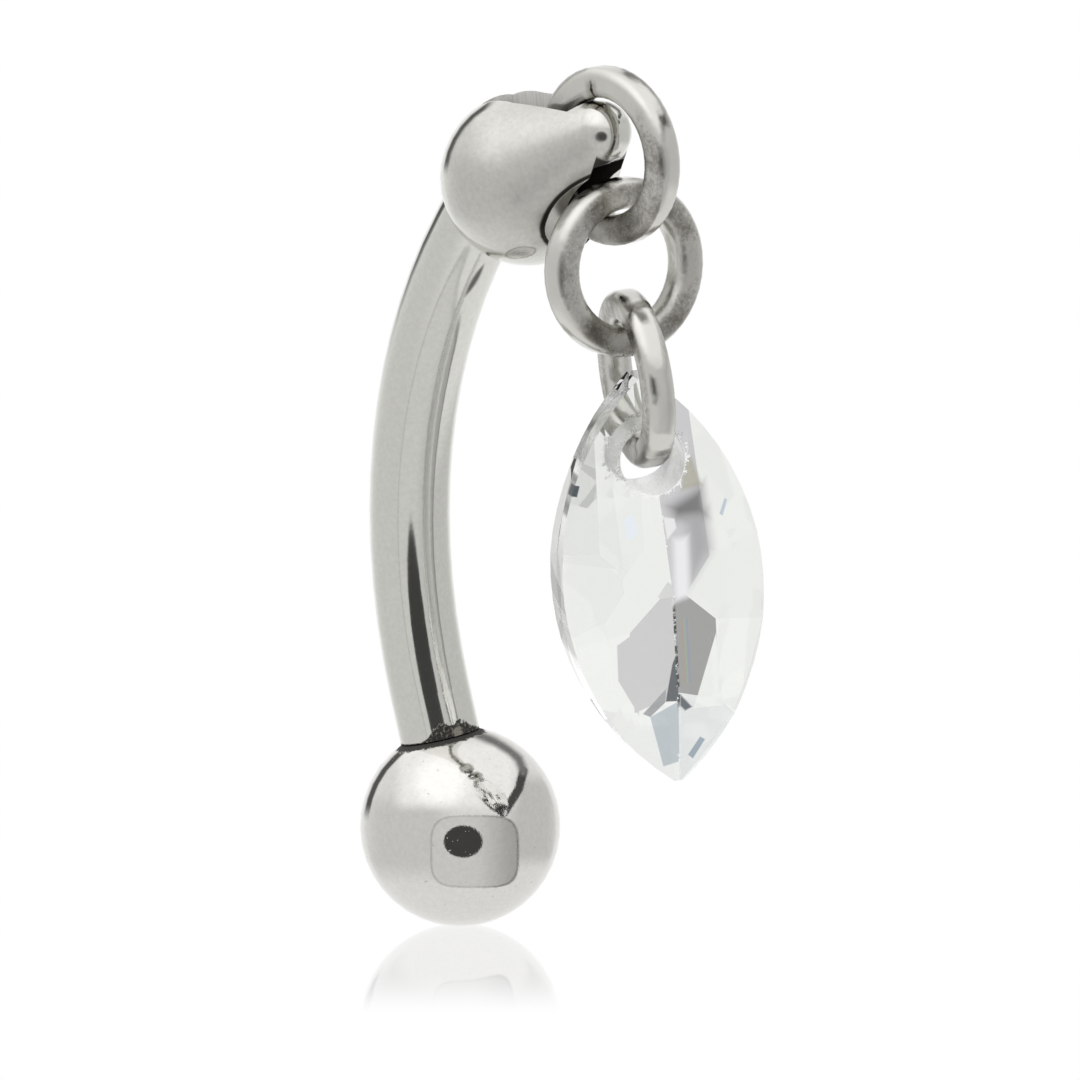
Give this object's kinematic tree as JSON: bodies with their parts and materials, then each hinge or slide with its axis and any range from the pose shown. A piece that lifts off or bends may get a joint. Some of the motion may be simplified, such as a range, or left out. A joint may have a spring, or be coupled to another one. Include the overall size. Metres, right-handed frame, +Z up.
{
  "type": "rook barbell",
  "caption": "Small curved polished-steel barbell for a rook piercing, with a plain lower ball, a slotted nose-shaped head and a clear faceted leaf-shaped crystal hanging from it on links.",
  "frame": {"origin": "middle of the bar along its centre line, the stretch that sits in the piercing", "axes": "Z up, X from the bar towards the hanging drop, Y across the plane that the bar bends in"},
  "size_m": [0.0076, 0.003, 0.0135],
  "materials": {
    "polished_steel": "polished steel with fine scratches",
    "polished_steel_ball": "polished steel",
    "link_steel": "steel wire, polished rim and satin flats",
    "clear_crystal": "cut and polished clear crystal"
  },
  "bodies": {
    "barbell": {"bar": "polished_steel", "end_ball": "polished_steel_ball"},
    "drop": {"top_link": "link_steel", "middle_link": "link_steel", "lower_link": "link_steel"},
    "stone": {"crystal": "clear_crystal"}
  },
  "joints": [
    {"name": "drop_swing", "type": "hinge", "parent": "barbell", "child": "drop", "pos_m": [0.00472, 0, 0.00526], "axis": [0, -1, 0], "range_deg": [0, 60]},
    {"name": "crystal_rock", "type": "hinge", "parent": "drop", "child": "stone", "pos_m": [0.00489, 0, 0.00041], "axis": [0.866, -0.5, 0], "range_deg": [-30, 30]}
  ]
}
